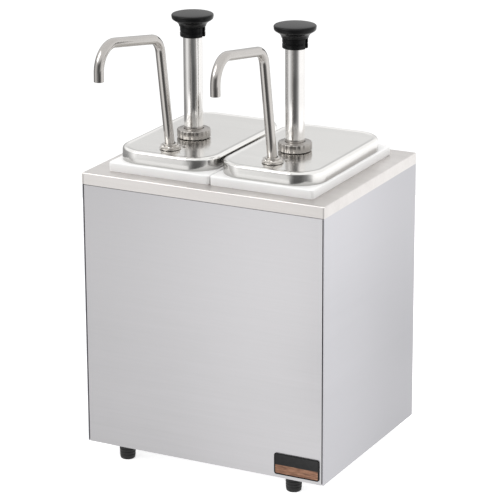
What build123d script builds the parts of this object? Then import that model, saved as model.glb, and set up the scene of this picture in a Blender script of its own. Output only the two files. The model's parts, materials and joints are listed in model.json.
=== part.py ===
"""Two-jar countertop pump station: a stainless cabinet, two ninth-size jars and two plunger pumps.

Frame: millimetres, +Z up, the front of the cabinet towards -Y.  The origin is on the surface that the
feet stand on, under the centre of the cabinet.
"""
from build123d import *
import os
from math import cos, radians, sin, sqrt, tan

os.makedirs("parts", exist_ok=True)

# ------------------------------------------------------------------ driving dimensions: cabinet
cabinet_width = 262.0
cabinet_depth = 210.5
cabinet_height = 280.0          # from the underside of the floor to the top of the deck
wall_sheet = 1.0
deck_sheet = 1.2
floor_sheet = 1.2
lip_height = 11.5               # turned-down edge of the deck
seam_gap = 0.6                  # shadow line between the front panel and the deck's lip
panel_gap = 1.1                 # dark gap on each side of the front panel
joggle_clearance = 0.3          # between the lip and the stepped-in wall behind it
bend_radius = 1.0
corner_slit = 0.4               # open corner seam of the lip
side_return = 12.0              # wall edge turned in under the floor, at the sides
end_return = 27.0               # the same at the front and back, wide enough for the feet
panel_return = 12.0             # side edge of the front panel, turned back
pan_flange = 10.0
pan_clearance = 0.3
web_bar_width, web_bar_height = 7.0, 12.0
bracket_leg, bracket_length, bracket_sheet = 13.0, 24.0, 1.5
bracket_inset = 13.5            # from the end wall to the near edge of a bracket
rivet_radius, rivet_head_radius, rivet_head = 1.6, 3.0, 1.2

foot_height = 16.0
foot_top_radius, foot_bottom_radius = 8.4, 7.6
foot_x, foot_inset = 93.0, 13.0  # from the centreline; from the front and back faces
foot_screw_radius, foot_head_radius, foot_head = 2.0, 4.0, 2.6
foot_counterbore = 5.0          # depth of the recess that hides the screw's head
foot_nut_flats, foot_nut, foot_screw_tail = 7.0, 3.2, 1.5

badge_width, badge_height, badge_thickness, badge_corner = 48.5, 22.0, 1.0, 2.5
badge_from_right, badge_from_floor = 4.2, 3.5   # to the cabinet's right face, to the floor's underside
badge_rim, badge_recess = 1.0, 0.3

# ------------------------------------------------------------------ driving dimensions: jars
jar_pitch = 111.5
rim_width, rim_depth, rim_height = 110.4, 176.8, 9.3
rim_corner, rim_edge, rim_wall = 3.5, 1.6, 3.2
jar_width, jar_length, jar_corner = 98.6, 164.0, 24.0    # outside of the body under its rim
jar_wall, jar_depth, jar_draft = 3.0, 205.0, 1.5
bead_height, bead_width = 2.5, 2.6     # raised bead that centres the lid on the rim
bead_clearance = 0.6
cutout_clearance = 1.1                 # deck opening round the jar's body

# ------------------------------------------------------------------ driving dimensions: lids and pumps
lid_width, lid_depth, lid_height, lid_corner = 107.0, 169.0, 12.7, 29.0
lid_sheet, lid_edge = 1.0, 2.4
pump_x, pump_y = -2.5, -10.0           # plunger axis, from the centre of the jar
spout_body_gap = 1.095                 # between the valve body's round side and the foot of the leaning spout
spout_lean = 9.5                       # forward lean of the spout's riser, degrees
spout_rise = 9.0                       # upward slope of the spout's arm, degrees
spout_splay = 2.7                      # each spout stands turned outwards a little, degrees
riser_length, arm_length, tip_length = 114.3, 106.7, 35.8
spout_bends = [19.0, 23.5]             # bend radii on the centreline: riser to arm, arm to tip

plunger_radius, plunger_wall = 9.525, 1.2
plunger_stroke = 92.0
plunger_stop_gap = 1.0                 # left between gauging collar and lock collar at full stroke
running_fit = 0.06                     # radial, where one piece slides or turns in another
hole_clearance = 0.3                   # radial, round fixed pieces

cylinder_gap, cylinder_wall = 2.975, 1.0        # cylinder's bore outside the plunger tube; its wall
bush_wall, bush_flange_width = 2.075, 0.8       # neck bush outside the plunger tube; its flange outside that
neck_wall, collar_wall = 0.8, 3.45              # threaded neck outside the flange; lock collar outside that
collar_height, collar_lip = 8.5, 2.4
collar_flutes, flute_radius = 20, 1.1
bush_flange, bush_length = 1.5, 20.0
cylinder_flange_width, cylinder_flange = 3.8, 2.0
piston_gap, piston_height, piston_side = 1.0, 14.0, 0.3
piston_socket, piston_recess, piston_rim = 6.0, 5.0, 2.1
seal_height, seal_depth = 3.0, 1.5
spring_inset, spring_wire_radius, spring_turns = 3.8, 0.8, 13   # coil's centreline inside the cylinder's bore
spring_solid_length = 30.0             # room left for the spring at full stroke

gauge_wall, gauge_height, gauge_slot = 2.975, 10.2, 5.2
knob_radius, knob_neck_wall = 20.9, 3.775
knob_rim_height, knob_waist_inset, knob_waist_height = 11.6, 0.6, 7.8
knob_throat_height, knob_flare_out, knob_flare_height = 1.2, 3.0, 4.9
knob_dome, knob_socket = 1.9, 9.0

body_wall, body_socket = 2.7, 8.0      # valve body outside the cylinder; depth the cylinder sits in it
chamber_radius, chamber_height, chamber_neck_radius, chamber_neck = 6.5, 10.0, 4.0, 7.0
intake_ball_radius, intake_seat_radius = 5.0, 3.6
intake_cap_radius, intake_cap_length = 9.0, 14.0
intake_pipe_radius, intake_pipe_end_gap = 6.5, 7.5    # gap from the pipe's end to the jar's floor
intake_notch = 4.0
ball_gap = 0.1                         # a ball rests this far off its seat's edge

tube_radius, tube_wall = 4.7625, 0.9
boss_radius, boss_tail = 8.5, 6.0
tube_socket, ball_cage, ball_cage_radius = 12.0, 9.0, 4.5
tube_foot_gap = 0.2                    # left under the tube so that it can turn in its socket
outlet_ball_radius, outlet_seat_radius, outlet_seat = 4.1, 2.4, 5.0
outlet_depth = 168.0                   # from the lid down the leaning axis to the outlet ball's seat
ring_section = 0.74                    # cord radius of both O-rings

bushing_flats, bushing_hex, bushing_washer, bushing_washer_radius = 18.4, 4.2, 1.0, 10.5
bushing_barrel_radius, bushing_barrel = 7.5, 8.0
clamp_width, clamp_length, clamp_sheet = 32.0, 36.0, 1.5
clamp_nut_flats, clamp_nut = 20.0, 4.0
pin_x, pin_y, pin_radius, pin_head_radius, pin_head = 9.5, 11.5, 1.3, 1.8, 0.9

# ------------------------------------------------------------------ levels and places worked out from them
floor_z = foot_height
deck_z = floor_z + cabinet_height
seam_z = deck_z - lip_height - seam_gap
rim_z = deck_z + rim_height
lid_z = rim_z + lid_height
half_width, half_depth = cabinet_width / 2, cabinet_depth / 2
tongue_inset = deck_sheet + joggle_clearance
foot_places = [(x, y) for x in (-foot_x, foot_x) for y in (foot_inset - half_depth, half_depth - foot_inset)]
pan_z = floor_z + wall_sheet

cylinder_bore = plunger_radius + cylinder_gap
neck_bore = plunger_radius + bush_wall
bush_flange_radius = neck_bore + bush_flange_width
neck_radius = bush_flange_radius + neck_wall
collar_radius = neck_radius + collar_wall
cylinder_flange_radius = neck_radius + cylinder_flange_width
piston_recess_radius = cylinder_bore - piston_rim
spring_coil_radius = cylinder_bore - spring_inset
gauge_radius = plunger_radius + gauge_wall
knob_neck_radius = plunger_radius + knob_neck_wall
body_radius = cylinder_bore + cylinder_wall + body_wall

bush_bottom = collar_height - collar_lip - bush_length
gauge_bottom = collar_height + plunger_stroke + plunger_stop_gap
knob_bottom = gauge_bottom + gauge_height
piston_top = bush_bottom - piston_gap
piston_bottom = piston_top - piston_height
spring_top = piston_bottom + piston_recess
spring_bottom = spring_top - plunger_stroke - spring_solid_length
chamber_top = spring_bottom - chamber_neck
seat_z = chamber_top - chamber_height
body_top = spring_bottom + body_socket
body_bottom = seat_z - intake_cap_length
tube_end = ball_cage - outlet_depth    # the socket's ledge, along the leaning axis from the lid's top
tube_foot = tube_end + tube_foot_gap
boss_top = tube_end + tube_socket
outlet_reach = body_radius + spout_body_gap + tube_radius - tube_end * sin(radians(spout_lean))


def save(piece, name):
    """Label a finished piece and write it."""
    piece.part.label = name
    export_step(piece.part, f"parts/{name}.step")


def upright(at):
    """The X-Z plane through a point, for profiles turned about the vertical through it."""
    return Plane(origin=at, x_dir=(1, 0, 0), z_dir=(0, -1, 0))


def turned(at, *points):
    """Revolve a closed profile of (radius, height) points about the vertical through a point."""
    with BuildSketch(upright(at)) as outline:
        with BuildLine():
            Polyline(*points, close=True)
        make_face()
    revolve(outline.sketch, axis=Axis(at, (0, 0, 1)))


def walled_ring(level, width, depth, sheet, height, open_front):
    """Extrude a rectangular ring of sheet; with open_front the front wall is left out."""
    front_cut = sheet if open_front else 0
    with BuildSketch(Plane.XY.offset(level)) as ring:
        Rectangle(width, depth)
        with Locations((0, -front_cut / 2)):
            Rectangle(width - 2 * sheet, depth - 2 * sheet + front_cut, mode=Mode.SUBTRACT)
    extrude(ring.sketch, amount=height)


# ================================================================== cabinet
tongue_width = cabinet_width - 2 * tongue_inset
tongue_depth = cabinet_depth - 2 * tongue_inset
tongue_top = deck_z - deck_sheet
step_z = seam_z - wall_sheet
wrap_top = deck_z - lip_height          # side and back walls butt against the lip, with no seam
wrap_step_z = wrap_top - wall_sheet
front_y = -half_depth
panel_width = cabinet_width - 2 * (wall_sheet + panel_gap)
panel_top_inset = max(tongue_inset + wall_sheet, wall_sheet + panel_gap)

bracket_y = tongue_depth / 2 - wall_sheet - bracket_inset - bracket_length / 2
bracket_places = [(sx, y) for sx in (-1, 1) for y in (-bracket_y, bracket_y)]
rivet_z = tongue_top - bracket_leg / 2 - bracket_sheet / 2


def rivet_plane(sx, y):
    """Plane on the inner face of a side tongue, looking outwards."""
    inner = tongue_width / 2 - wall_sheet
    return Plane(origin=(sx * inner, y, rivet_z), x_dir=(0, 1, 0), z_dir=(sx, 0, 0))


with BuildPart() as cabinet_wrap:
    walled_ring(floor_z, cabinet_width, cabinet_depth, wall_sheet, wrap_top - floor_z, True)
    # step in to the tongue that the deck's lip hangs over
    with BuildSketch(Plane.XY.offset(wrap_step_z)):
        Rectangle(cabinet_width, cabinet_depth)
        with Locations((0, -half_depth)):
            Rectangle(tongue_width - 2 * wall_sheet, 2 * cabinet_depth - 2 * tongue_inset - 2 * wall_sheet,
                      mode=Mode.SUBTRACT)
        with Locations((0, front_y)):
            Rectangle(cabinet_width - 2 * wall_sheet, 2 * (tongue_inset + wall_sheet + panel_gap),
                      mode=Mode.SUBTRACT)
    extrude(amount=wall_sheet)
    with BuildSketch(Plane.XY.offset(wrap_step_z)):
        Rectangle(tongue_width, tongue_depth)
        with Locations((0, -half_depth)):
            Rectangle(tongue_width - 2 * wall_sheet, 2 * cabinet_depth - 2 * tongue_inset - 2 * wall_sheet,
                      mode=Mode.SUBTRACT)
        with Locations((0, front_y)):
            Rectangle(cabinet_width, 2 * (tongue_inset + wall_sheet + panel_gap), mode=Mode.SUBTRACT)
    extrude(amount=tongue_top - wrap_step_z)
    # edges turned in under the floor
    with BuildSketch(Plane.XY.offset(floor_z)):
        Rectangle(cabinet_width, cabinet_depth)
        with Locations((0, -end_return / 2)):
            Rectangle(cabinet_width - 2 * side_return, cabinet_depth - end_return, mode=Mode.SUBTRACT)
        with Locations((0, front_y)):
            Rectangle(cabinet_width - 2 * wall_sheet, 2 * (wall_sheet + panel_gap), mode=Mode.SUBTRACT)
    extrude(amount=wall_sheet)
    with Locations(*[(x, y, floor_z) for x, y in foot_places if y > 0]):
        Cylinder(foot_screw_radius, 3 * wall_sheet, mode=Mode.SUBTRACT)
    for sx, y in bracket_places:
        with BuildSketch(rivet_plane(sx, y)):
            Circle(rivet_radius)
        extrude(amount=wall_sheet, mode=Mode.SUBTRACT)
save(cabinet_wrap, "cabinet_wrap")

with BuildPart() as front_panel:
    # face, side returns and the tongue behind the deck's front lip
    with BuildSketch(Plane.XY.offset(floor_z)):
        with Locations((0, front_y)):
            Rectangle(panel_width, wall_sheet, align=(Align.CENTER, Align.MIN))
    extrude(amount=seam_z - floor_z)
    with BuildSketch(Plane.XY.offset(pan_z + pan_clearance)):
        for sx in (-1, 1):
            with Locations((sx * (panel_width - wall_sheet) / 2, front_y)):
                Rectangle(wall_sheet, panel_return, align=(Align.CENTER, Align.MIN))
    extrude(amount=step_z - pan_z - 2 * pan_clearance)
    with BuildSketch(Plane.XY.offset(step_z)):
        with Locations((0, front_y)):
            Rectangle(panel_width, tongue_inset + wall_sheet, align=(Align.CENTER, Align.MIN))
    extrude(amount=wall_sheet)
    with BuildSketch(Plane.XY.offset(step_z)):
        with Locations((0, front_y + tongue_inset)):
            Rectangle(cabinet_width - 2 * panel_top_inset, wall_sheet, align=(Align.CENTER, Align.MIN))
    extrude(amount=tongue_top - step_z)
    # bottom edge turned back under the floor, between the wrap's own edges
    with BuildSketch(Plane.XY.offset(floor_z)):
        with Locations((0, front_y)):
            Rectangle(cabinet_width - 2 * side_return - 2 * panel_gap, end_return,
                      align=(Align.CENTER, Align.MIN))
    extrude(amount=wall_sheet)
    with Locations(*[(x, y, floor_z) for x, y in foot_places if y < 0]):
        Cylinder(foot_screw_radius, 3 * wall_sheet, mode=Mode.SUBTRACT)
save(front_panel, "front_panel")

jar_places = [("left", -jar_pitch / 2, -spout_splay), ("right", jar_pitch / 2, spout_splay)]

with BuildPart() as deck_cover:
    with BuildSketch(Plane.XY.offset(deck_z - lip_height)):
        Rectangle(cabinet_width, cabinet_depth)
    extrude(amount=lip_height)
    top_face = deck_cover.faces().sort_by(Axis.Z)[-1]
    fillet(top_face.edges(), bend_radius)
    with BuildSketch(Plane.XY.offset(deck_z - lip_height)):
        Rectangle(cabinet_width - 2 * deck_sheet, cabinet_depth - 2 * deck_sheet)
    extrude(amount=lip_height - deck_sheet, mode=Mode.SUBTRACT)
    with BuildSketch(Plane.XY.offset(deck_z - deck_sheet)):
        for _, x, _ in jar_places:
            with Locations((x, 0)):
                RectangleRounded(jar_width + 2 * cutout_clearance, jar_length + 2 * cutout_clearance,
                                 jar_corner + cutout_clearance)
    extrude(amount=deck_sheet, mode=Mode.SUBTRACT)
    # the lip's corners are butted, not welded: a fine slit in each
    with BuildSketch(Plane.XY.offset(deck_z - lip_height)):
        for sx in (-1, 1):
            for sy in (-1, 1):
                with Locations((sx * (half_width - deck_sheet - corner_slit / 2),
                                sy * (half_depth - deck_sheet / 2))):
                    Rectangle(corner_slit, deck_sheet)
    extrude(amount=lip_height - deck_sheet, mode=Mode.SUBTRACT)
save(deck_cover, "deck_cover")

with BuildPart() as floor_pan:
    pan_width = cabinet_width - 2 * (wall_sheet + panel_gap + wall_sheet + pan_clearance)
    pan_depth = cabinet_depth - 2 * (wall_sheet + pan_clearance)
    with BuildSketch(Plane.XY.offset(pan_z)):
        Rectangle(pan_width, pan_depth)
    extrude(amount=floor_sheet)
    walled_ring(pan_z, pan_width, pan_depth, floor_sheet, pan_flange, False)
    with Locations(*[(x, y, pan_z) for x, y in foot_places]):
        Cylinder(foot_screw_radius, 4 * floor_sheet, mode=Mode.SUBTRACT)
save(floor_pan, "floor_pan")

with BuildPart() as web_bar:
    # stiffens the narrow strip of deck between the two openings
    with BuildSketch(Plane.XY.offset(tongue_top - web_bar_height)):
        Rectangle(web_bar_width, tongue_depth - 2 * wall_sheet)
    extrude(amount=web_bar_height)
save(web_bar, "web_bar")

with BuildPart() as corner_brackets:
    inner = tongue_width / 2 - wall_sheet
    for sx, y in bracket_places:
        with BuildSketch(Plane(origin=(sx * inner, y, tongue_top), x_dir=(-sx, 0, 0), z_dir=(0, sx, 0))):
            Rectangle(bracket_sheet, bracket_leg, align=(Align.MIN, Align.MAX))
            Rectangle(bracket_leg, bracket_sheet, align=(Align.MIN, Align.MAX))
        extrude(amount=bracket_length / 2, both=True)
    for sx, y in bracket_places:
        with BuildSketch(rivet_plane(sx, y)):
            Circle(rivet_radius)
        extrude(amount=-bracket_sheet, mode=Mode.SUBTRACT)
save(corner_brackets, "corner_brackets")

with BuildPart() as bracket_rivets:
    for sx, y in bracket_places:
        with BuildSketch(rivet_plane(sx, y).offset(-bracket_sheet)):
            Circle(rivet_radius)
        extrude(amount=bracket_sheet + wall_sheet)
        with BuildSketch(rivet_plane(sx, y).offset(-bracket_sheet)):
            Circle(rivet_head_radius)
        extrude(amount=-rivet_head)
save(bracket_rivets, "bracket_rivets")

with BuildPart() as rubber_feet:
    for x, y in foot_places:
        turned((x, y, 0), (foot_head_radius + hole_clearance, 0), (foot_bottom_radius - 1, 0),
               (foot_bottom_radius, 1), (foot_top_radius, foot_height), (foot_screw_radius, foot_height),
               (foot_screw_radius, foot_counterbore), (foot_head_radius + hole_clearance, foot_counterbore))
save(rubber_feet, "rubber_feet")

foot_screw_top = pan_z + floor_sheet + foot_nut + foot_screw_tail
with BuildPart() as foot_screws:
    for x, y in foot_places:
        turned((x, y, foot_counterbore), (0, -foot_head), (foot_head_radius - 0.8, -foot_head),
               (foot_head_radius, -foot_head + 0.8), (foot_head_radius, 0), (foot_screw_radius, 0),
               (foot_screw_radius, foot_screw_top - foot_counterbore),
               (0, foot_screw_top - foot_counterbore))
save(foot_screws, "foot_screws")

with BuildPart() as foot_nuts:
    with BuildSketch(Plane.XY.offset(pan_z + floor_sheet)):
        with Locations(*foot_places):
            RegularPolygon(foot_nut_flats / 2, 6, major_radius=False)
            Circle(foot_screw_radius, mode=Mode.SUBTRACT)
    extrude(amount=foot_nut)
save(foot_nuts, "foot_nuts")

with BuildPart() as badge_plate:
    badge_plane = Plane(
        origin=(half_width - badge_from_right - badge_width / 2, front_y,
                floor_z + badge_from_floor + badge_height / 2),
        x_dir=(1, 0, 0), z_dir=(0, -1, 0))
    with BuildSketch(badge_plane):
        RectangleRounded(badge_width, badge_height, badge_corner)
    extrude(amount=badge_thickness)
    with BuildSketch(badge_plane.offset(badge_thickness - badge_recess)):
        RectangleRounded(badge_width - 2 * badge_rim, badge_height - 2 * badge_rim,
                         badge_corner - badge_rim)
    extrude(amount=badge_recess, mode=Mode.SUBTRACT)
save(badge_plate, "badge_plate")


# ================================================================== jars
def make_jar(x):
    """A deep ninth-size jar: tapered body, thick turned-down rim, bead that centres the lid."""
    draft_shift = 2 * (jar_depth - rim_height) * tan(radians(jar_draft))
    bottom = (jar_width - draft_shift, jar_length - draft_shift, jar_corner - draft_shift / 2)
    with BuildPart() as jar:
        with BuildSketch(Plane((x, 0, rim_z - jar_depth))):
            RectangleRounded(*bottom)
        with BuildSketch(Plane((x, 0, deck_z))):
            RectangleRounded(jar_width, jar_length, jar_corner)
        loft()
        fillet(jar.edges().group_by(Axis.Z)[0], jar_wall + 3)
        with BuildSketch(Plane((x, 0, deck_z))):
            RectangleRounded(rim_width, rim_depth, rim_corner)
        extrude(amount=rim_height)
        fillet(jar.faces().sort_by(Axis.Z)[-1].edges(), rim_edge)
        # hollow under the turned-down rim, outside the body
        with BuildSketch(Plane((x, 0, deck_z))):
            RectangleRounded(rim_width - 2 * rim_wall, rim_depth - 2 * rim_wall, rim_corner)
            RectangleRounded(jar_width, jar_length, jar_corner, mode=Mode.SUBTRACT)
        extrude(amount=rim_height - rim_wall, mode=Mode.SUBTRACT)
        bead_outer = (lid_width - 2 * (lid_sheet + bead_clearance),
                      lid_depth - 2 * (lid_sheet + bead_clearance))
        with BuildSketch(Plane((x, 0, rim_z))):
            RectangleRounded(*bead_outer, lid_corner - lid_sheet - bead_clearance)
            RectangleRounded(bead_outer[0] - 2 * bead_width, bead_outer[1] - 2 * bead_width,
                             lid_corner - lid_sheet - bead_clearance - bead_width, mode=Mode.SUBTRACT)
        extrude(amount=bead_height)
        with BuildSketch(Plane((x, 0, rim_z - jar_depth + jar_wall))):
            RectangleRounded(bottom[0] - 2 * jar_wall, bottom[1] - 2 * jar_wall, bottom[2] - jar_wall)
        with BuildSketch(Plane((x, 0, rim_z))):
            RectangleRounded(jar_width - 2 * jar_wall, jar_length - 2 * jar_wall, jar_corner - jar_wall)
        loft(mode=Mode.SUBTRACT)
    return jar


# ================================================================== pumps
def outlet_frame(at, turn):
    """Plane of the spout: local Y runs up its leaning riser, local X forward, turned about the riser."""
    lean = radians(spout_lean)
    riser = Vector(0, -sin(lean), cos(lean))
    forward = Vector(0, -cos(lean), -sin(lean))
    forward = forward.rotate(Axis((0, 0, 0), tuple(riser)), turn)
    origin = Vector(at) + Vector(0, -outlet_reach, 0)
    return Plane(origin=origin, x_dir=forward, z_dir=forward.cross(riser))


def riser_plane(at, along):
    """Plane square to the leaning riser, a distance along it from the lid's top."""
    lean = radians(spout_lean)
    riser = Vector(0, -sin(lean), cos(lean))
    origin = Vector(at) + Vector(0, -outlet_reach, 0) + riser * along
    return Plane(origin=origin, x_dir=(1, 0, 0), z_dir=riser)


def make_lid(x, at):
    with BuildPart() as lid:
        with BuildSketch(Plane((x, 0, rim_z))):
            RectangleRounded(lid_width, lid_depth, lid_corner)
        extrude(amount=lid_height)
        fillet(lid.faces().sort_by(Axis.Z)[-1].edges(), lid_edge)
        offset(amount=-lid_sheet, openings=lid.faces().sort_by(Axis.Z)[0])
        with BuildSketch(Plane(at)):
            Circle(neck_radius + hole_clearance)
            with Locations((0, -outlet_reach)):
                Circle(bushing_barrel_radius + hole_clearance)
            with Locations((pin_x, pin_y - outlet_reach)):
                Circle(pin_radius)
        extrude(amount=-2 * lid_sheet, mode=Mode.SUBTRACT)
    return lid


def make_lock_collar(at):
    neck_top = collar_height - collar_lip
    lip_bore = plunger_radius + hole_clearance
    with BuildPart() as lock_collar:
        turned(at, (neck_radius, 0), (collar_radius - 0.4, 0), (collar_radius, 0.4),
               (collar_radius, collar_height - 0.6), (collar_radius - 0.6, collar_height),
               (lip_bore + 2.4, collar_height), (lip_bore + 2, collar_height + 0.6),
               (lip_bore, collar_height + 0.6), (lip_bore, neck_top), (neck_radius, neck_top))
        with BuildSketch(Plane(at)):
            with PolarLocations(collar_radius + flute_radius * 0.4, collar_flutes):
                Circle(flute_radius)
        extrude(amount=collar_height, mode=Mode.SUBTRACT)
    return lock_collar


def make_neck_bush(at):
    top = collar_height - collar_lip
    bore = plunger_radius + running_fit
    with BuildPart() as neck_bush:
        turned(at, (bore, top), (bush_flange_radius, top), (bush_flange_radius, top - bush_flange),
               (neck_bore, top - bush_flange), (neck_bore, bush_bottom), (bore, bush_bottom))
    return neck_bush


def make_cylinder(at):
    top = collar_height - collar_lip
    outer = cylinder_bore + cylinder_wall
    under = -lid_sheet
    with BuildPart() as pump_cylinder:
        turned(at, (bush_flange_radius, top), (neck_radius, top), (neck_radius, under),
               (cylinder_flange_radius, under), (cylinder_flange_radius, under - cylinder_flange),
               (outer, under - cylinder_flange), (outer, spring_bottom),
               (cylinder_bore, spring_bottom), (cylinder_bore, bush_bottom), (neck_bore, bush_bottom),
               (neck_bore, top - bush_flange), (bush_flange_radius, top - bush_flange))
    return pump_cylinder


def make_valve_body(at):
    outer = cylinder_bore + cylinder_wall
    ring_z = (body_top + spring_bottom) / 2
    with BuildPart() as valve_body:
        turned(at, (0, body_top), (body_radius, body_top), (body_radius, body_bottom + 2),
               (body_radius - 2, body_bottom), (0, body_bottom))
        # boss for the discharge tube, along the leaning axis
        with BuildSketch(riser_plane(at, boss_top)):
            Circle(boss_radius)
        extrude(amount=-(boss_top + outlet_depth + boss_tail))
        turned_cut(at, (0, body_top), (outer, body_top), (outer, ring_z + ring_section),
                   (outer + 2 * ring_section, ring_z + ring_section),
                   (outer + 2 * ring_section, ring_z - ring_section), (outer, ring_z - ring_section),
                   (outer, spring_bottom), (chamber_neck_radius, spring_bottom),
                   (chamber_neck_radius, chamber_top), (chamber_radius, chamber_top),
                   (chamber_radius, seat_z), (intake_cap_radius, seat_z),
                   (intake_cap_radius, body_bottom), (0, body_bottom))
        # tube socket with its O-ring groove, ball cage and seat
        socket_bore = tube_radius + running_fit
        drill(at, boss_top, -tube_socket, socket_bore)
        drill(at, boss_top - tube_socket / 2 + ring_section, -2 * ring_section,
              socket_bore + 2 * ring_section)
        drill(at, tube_end, -ball_cage, ball_cage_radius)
        drill(at, -outlet_depth, -outlet_seat, outlet_seat_radius)
        # cross passage from the chamber to the foot of the outlet seat
        passage = riser_plane(at, -outlet_depth - outlet_seat + outlet_seat_radius).origin
        with BuildSketch(Plane(origin=(at[0], at[1], passage.Z), x_dir=(1, 0, 0), z_dir=(0, -1, 0))):
            Circle(outlet_seat_radius)
        extrude(amount=at[1] - passage.Y, mode=Mode.SUBTRACT)
    return valve_body


def turned_cut(at, *points):
    """Cut a turned profile out of the part being built."""
    with BuildSketch(upright(at)) as outline:
        with BuildLine():
            Polyline(*points, close=True)
        make_face()
    revolve(outline.sketch, axis=Axis(at, (0, 0, 1)), mode=Mode.SUBTRACT)


def drill(at, along, depth, radius):
    """Cut a round hole along the leaning riser axis."""
    with BuildSketch(riser_plane(at, along)) as hole:
        Circle(radius)
    extrude(hole.sketch, amount=depth, mode=Mode.SUBTRACT)


def make_body_ring(at):
    outer = cylinder_bore + cylinder_wall
    ring_z = (body_top + spring_bottom) / 2
    with BuildPart() as body_ring:
        with BuildSketch(upright(at)):
            with Locations((outer + ring_section, ring_z)):
                Circle(ring_section)
        revolve(axis=Axis(at, (0, 0, 1)))
    return body_ring


def make_tube_ring(at):
    groove = riser_plane(at, boss_top - tube_socket / 2)
    side = Plane(origin=groove.origin, x_dir=(1, 0, 0), z_dir=groove.y_dir)
    with BuildPart() as tube_ring:
        with BuildSketch(side):
            with Locations((tube_radius + running_fit + ring_section, 0)):
                Circle(ring_section)
        revolve(axis=Axis(groove.origin, groove.z_dir))
    return tube_ring


def make_intake_cap(at):
    """Screwed cap with the intake seat and the pipe that reaches down to the jar's floor."""
    pipe_bottom = rim_z - jar_depth + jar_wall + intake_pipe_end_gap - lid_z
    with BuildPart() as intake_cap:
        turned(at, (intake_seat_radius, seat_z), (intake_cap_radius, seat_z),
               (intake_cap_radius, body_bottom), (intake_cap_radius + 3, body_bottom),
               (intake_cap_radius + 3, body_bottom - 3), (intake_pipe_radius, body_bottom - 3),
               (intake_pipe_radius, pipe_bottom), (intake_pipe_radius - 1.5, pipe_bottom),
               (intake_pipe_radius - 1.5, seat_z - 4), (intake_seat_radius, seat_z - 4))
        # notches so that the pipe still draws when it stands on the floor
        with BuildSketch(Plane((at[0], at[1], at[2] + pipe_bottom))):
            Rectangle(3 * intake_pipe_radius, intake_notch)
            Rectangle(intake_notch, 3 * intake_pipe_radius)
        extrude(amount=intake_notch, mode=Mode.SUBTRACT)
    return intake_cap


def make_ball(centre, radius):
    with BuildPart() as ball:
        with Locations(centre):
            Sphere(radius)
    return ball


def make_plunger_tube(at):
    bottom = piston_top - piston_socket
    top = knob_bottom + knob_socket
    inner = plunger_radius - plunger_wall
    with BuildPart() as plunger_tube:
        turned(at, (inner, bottom), (plunger_radius, bottom), (plunger_radius, top), (inner, top))
    return plunger_tube


def make_piston(at):
    outer = cylinder_bore - piston_side
    groove_top = piston_top - 2.5
    floor = outer - seal_depth
    with BuildPart() as piston:
        turned(at, (plunger_radius, piston_top), (outer, piston_top), (outer, groove_top),
               (floor, groove_top), (floor, groove_top - seal_height),
               (outer, groove_top - seal_height), (outer, piston_bottom),
               (piston_recess_radius, piston_bottom), (piston_recess_radius, spring_top), (0, spring_top),
               (0, piston_top - piston_socket), (plunger_radius, piston_top - piston_socket))
    return piston


def make_piston_seal(at):
    floor = cylinder_bore - piston_side - seal_depth
    top = piston_top - 2.5
    lip = cylinder_bore - running_fit
    with BuildPart() as piston_seal:
        turned(at, (floor, top), (lip - 0.8, top), (lip, top - 0.8),
               (lip, top - seal_height + 0.8), (lip - 0.8, top - seal_height), (floor, top - seal_height))
    return piston_seal


def make_spring(at):
    """Coil from the piston's recess down to the valve body, wire faces just touching both seats."""
    height = spring_top - spring_bottom - 2 * spring_wire_radius
    start = at[2] + spring_bottom + spring_wire_radius
    with BuildPart() as return_spring:
        with BuildLine() as coil:
            Helix(pitch=height / spring_turns, height=height, radius=spring_coil_radius,
                  center=(at[0], at[1], start))
        with BuildSketch(Plane(origin=coil.line @ 0, z_dir=coil.line % 0)):
            Circle(spring_wire_radius)
        sweep(is_frenet=True)
    return return_spring


def make_gauging_collar(at):
    """Black clip that shortens the stroke: a ring with one slot, facing right."""
    with BuildPart() as gauging_collar:
        with BuildSketch(Plane((at[0], at[1], at[2] + gauge_bottom))):
            Circle(gauge_radius)
            Circle(plunger_radius, mode=Mode.SUBTRACT)
            with Locations((gauge_radius, 0)):
                Rectangle(2 * (gauge_radius - plunger_radius) + 2, gauge_slot, mode=Mode.SUBTRACT)
        extrude(amount=gauge_height)
        outer_edges = gauging_collar.edges().filter_by(GeomType.CIRCLE)
        bottom_edges = outer_edges.group_by(Axis.Z)[0].filter_by(lambda e: e.radius > plunger_radius + 1)
        fillet(bottom_edges, 0.8)
    return gauging_collar


def make_knob(at):
    socket_top = knob_bottom + knob_socket
    waist = (knob_radius - knob_waist_inset, knob_bottom + knob_waist_height)
    rim = (knob_radius, knob_bottom + knob_rim_height)
    foot = (knob_neck_radius, knob_bottom)
    throat = (knob_neck_radius, knob_bottom + knob_throat_height)
    flare = (knob_neck_radius + knob_flare_out, knob_bottom + knob_flare_height)
    crown = (0, rim[1] + knob_dome)
    shoulder = (knob_radius * 0.72, rim[1] + knob_dome * 0.62)
    with BuildPart() as knob:
        with BuildSketch(upright(at)):
            with BuildLine():
                Polyline((0, socket_top), (plunger_radius, socket_top), (plunger_radius, knob_bottom),
                         foot, throat)
                ThreePointArc(throat, flare, waist)
                Line(waist, rim)
                ThreePointArc(rim, shoulder, crown)
                Line(crown, (0, socket_top))
            make_face()
        revolve(axis=Axis(at, (0, 0, 1)))
        rings = knob.edges().filter_by(GeomType.CIRCLE).filter_by(lambda edge: edge.is_closed)
        fillet(rings.sort_by(SortBy.RADIUS)[-1], 0.9)
    return knob


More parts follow.
